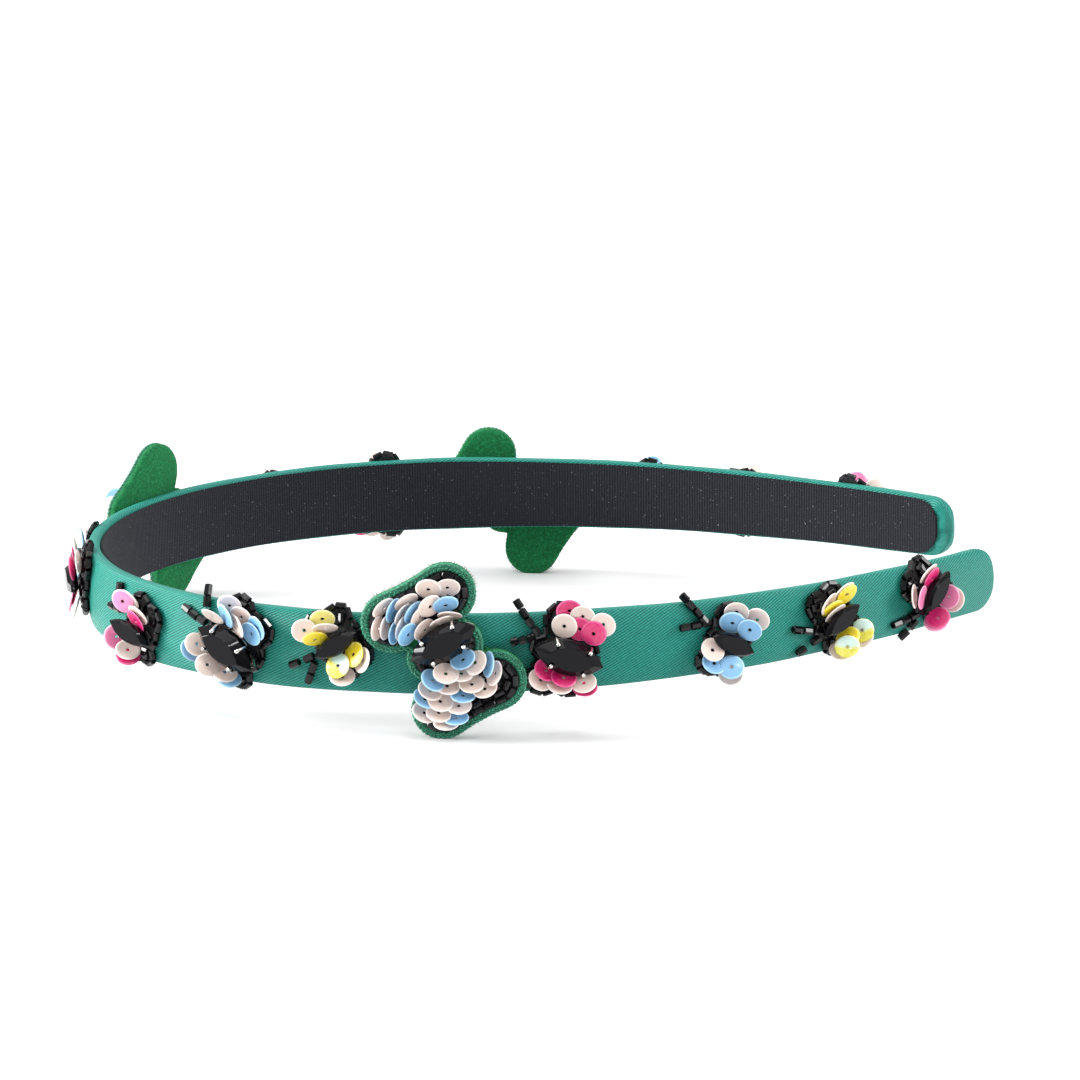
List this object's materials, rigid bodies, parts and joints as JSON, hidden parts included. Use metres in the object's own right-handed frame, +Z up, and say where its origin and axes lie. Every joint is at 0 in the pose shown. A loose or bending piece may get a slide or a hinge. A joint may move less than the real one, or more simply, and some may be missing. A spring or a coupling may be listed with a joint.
{
  "type": "butterfly headband",
  "caption": "Slim satin-covered headband with ribbon lining and sewn butterflies of sequins, black beads and black marquise stones, some on felt patches, lying on its edge.",
  "frame": {"origin": "under the middle of the headband's bounding box, on the surface that it lies on", "axes": "+Z up from that surface; the crown of the band is at -X and its two tips at +X; -Y is the arm nearest the viewer of the picture"},
  "size_m": [0.1596, 0.137, 0.0292],
  "materials": {
    "satin_teal": "satin",
    "ribbon_black": "matte",
    "felt_green": "matte",
    "sequins_cream": "gloss",
    "sequins_blue": "gloss",
    "sequins_pink": "gloss",
    "sequins_yellow": "gloss",
    "glass_black": "gloss",
    "silver_claws": "polished"
  },
  "bodies": {
    "root": {"band_cover": "satin_teal", "band_lining": "ribbon_black", "crown_front_pink_wings": "sequins_pink", "crown_front_pink_stone": "glass_black", "front_pink_wings": "sequins_pink", "front_pink_stone": "glass_black", "front_blue_wings": "sequins_blue", "front_blue_setting": "silver_claws", "front_blue_stone": "glass_black", "front_yellow_wings": "sequins_yellow", "front_yellow_stone": "glass_black", "front_patch_felt": "felt_green", "front_patch_wings": "sequins_cream", "front_patch_setting": "silver_claws", "front_patch_stone": "glass_black", "front_magenta_wings": "sequins_pink", "front_magenta_setting": "silver_claws", "front_magenta_stone": "glass_black", "arm_sky_wings": "sequins_blue", "arm_sky_stone": "glass_black", "arm_yellow_wings": "sequins_yellow", "arm_yellow_stone": "glass_black", "tip_pink_wings": "sequins_pink", "tip_pink_stone": "glass_black", "crown_back_blue_wings": "sequins_blue", "crown_back_blue_stone": "glass_black", "crown_patch_felt": "felt_green", "crown_patch_wings": "sequins_cream", "crown_patch_setting": "silver_claws", "crown_patch_stone": "glass_black", "back_yellow_wings": "sequins_yellow", "back_yellow_stone": "glass_black", "back_pink_wings": "sequins_pink", "back_pink_setting": "silver_claws", "back_pink_stone": "glass_black", "back_patch_felt": "felt_green", "back_patch_wings": "sequins_cream", "back_patch_setting": "silver_claws", "back_patch_stone": "glass_black", "back_sky_wings": "sequins_blue", "back_sky_stone": "glass_black", "back_dusk_wings": "sequins_cream", "back_dusk_stone": "glass_black", "back_tip_rose_wings": "sequins_pink", "back_tip_rose_stone": "glass_black"}
  },
  "joints": []
}
